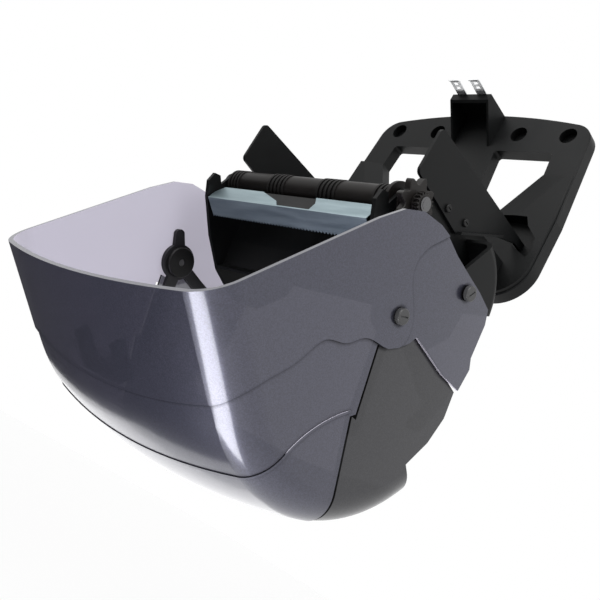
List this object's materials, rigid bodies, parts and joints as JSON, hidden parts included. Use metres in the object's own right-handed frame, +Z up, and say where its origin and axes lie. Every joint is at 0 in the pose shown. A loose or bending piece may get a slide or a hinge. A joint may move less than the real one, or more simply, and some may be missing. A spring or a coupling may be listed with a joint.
{
  "type": "lever roll towel dispenser",
  "caption": "Wall-mounted roll towel dispenser, opened for loading: a swing-down smoke cover with a push lever over a roll bed, feed rollers and a toothed tear bar.",
  "frame": {"origin": "on the wall face of the back plate, in the middle of the row of four screw holes", "axes": "+X to the right as seen from the room, +Y into the wall, +Z up"},
  "size_m": [0.3134, 0.3205, 0.4905],
  "materials": {
    "smoke_shell": "translucent smoke with a fine metallic fleck, glossy",
    "smoke_inner": "translucent smoke, satin inside",
    "lever_grey": "dark grey, glossy",
    "black_plastic": "black moulded, satin",
    "dark_cap": "black moulded, fine grain",
    "acetal": "dark acetal",
    "zinc": "zinc plated, pale blue",
    "steel": "plain steel, satin",
    "bolt": "dark zinc",
    "sleeve": "brown black, smooth",
    "grip_rubber": "soft ribbed rubber"
  },
  "bodies": {
    "back": {"wall_plate": "black_plastic", "latch_springs": "zinc", "roll_guide_right": "black_plastic", "roll_guide_left": "black_plastic", "side_frame_right": "black_plastic", "side_frame_left": "black_plastic", "frame_screws": "steel", "roll_bed": "black_plastic", "hinge_housing_right": "black_plastic", "hinge_housing_left": "black_plastic", "hinge_bolts": "bolt", "tear_bar": "zinc", "tear_bar_carrier": "black_plastic", "tear_bar_pins": "steel", "roller_bushes": "acetal"},
    "cover": {"cover_shell": "smoke_shell", "latch_housing": "smoke_inner", "pivot_bolts": "bolt"},
    "lever": {"lever_shell": "lever_grey", "lever_arm_right": "black_plastic", "lever_arm_left": "black_plastic", "pivot_caps": "dark_cap", "lever_sector": "acetal", "sector_screws": "steel"},
    "roller": {"roller_shaft": "steel", "roller_sleeves": "sleeve", "roller_grips": "grip_rubber", "roller_flange": "sleeve", "star_wheel": "dark_cap", "one_way_clutch": "steel", "retaining_ring": "steel"},
    "drive_gear": {"drive_gear": "acetal"},
    "pinch_roller": {"pinch_shaft": "steel", "pinch_sleeves": "grip_rubber"}
  },
  "joints": [
    {"name": "cover_hinge", "type": "hinge", "parent": "back", "child": "cover", "pos_m": [0, -0.0935, -0.227], "axis": [1, 0, 0], "range_deg": [-143.6, 0]},
    {"name": "lever_pivot", "type": "hinge", "parent": "cover", "child": "lever", "pos_m": [0, -0.15215, -0.28464], "axis": [1, 0, 0], "range_deg": [0, 18]},
    {"name": "roller_spin", "type": "hinge", "parent": "back", "child": "roller", "pos_m": [0, -0.167, -0.1945], "axis": [1, 0, 0], "continuous": true},
    {"name": "pinch_spin", "type": "hinge", "parent": "back", "child": "pinch_roller", "pos_m": [0, -0.14839, -0.20127], "axis": [1, 0, 0], "continuous": true},
    {"name": "gear_spin", "type": "hinge", "parent": "back", "child": "drive_gear", "pos_m": [0, -0.167, -0.1945], "axis": [1, 0, 0], "range_deg": [-1, 217]}
  ],
  "couplings": [
    {"joint": "gear_spin", "follows": "lever_pivot", "ratio": 12},
    {"joint": "pinch_spin", "follows": "roller_spin", "ratio": -1.7857}
  ]
}
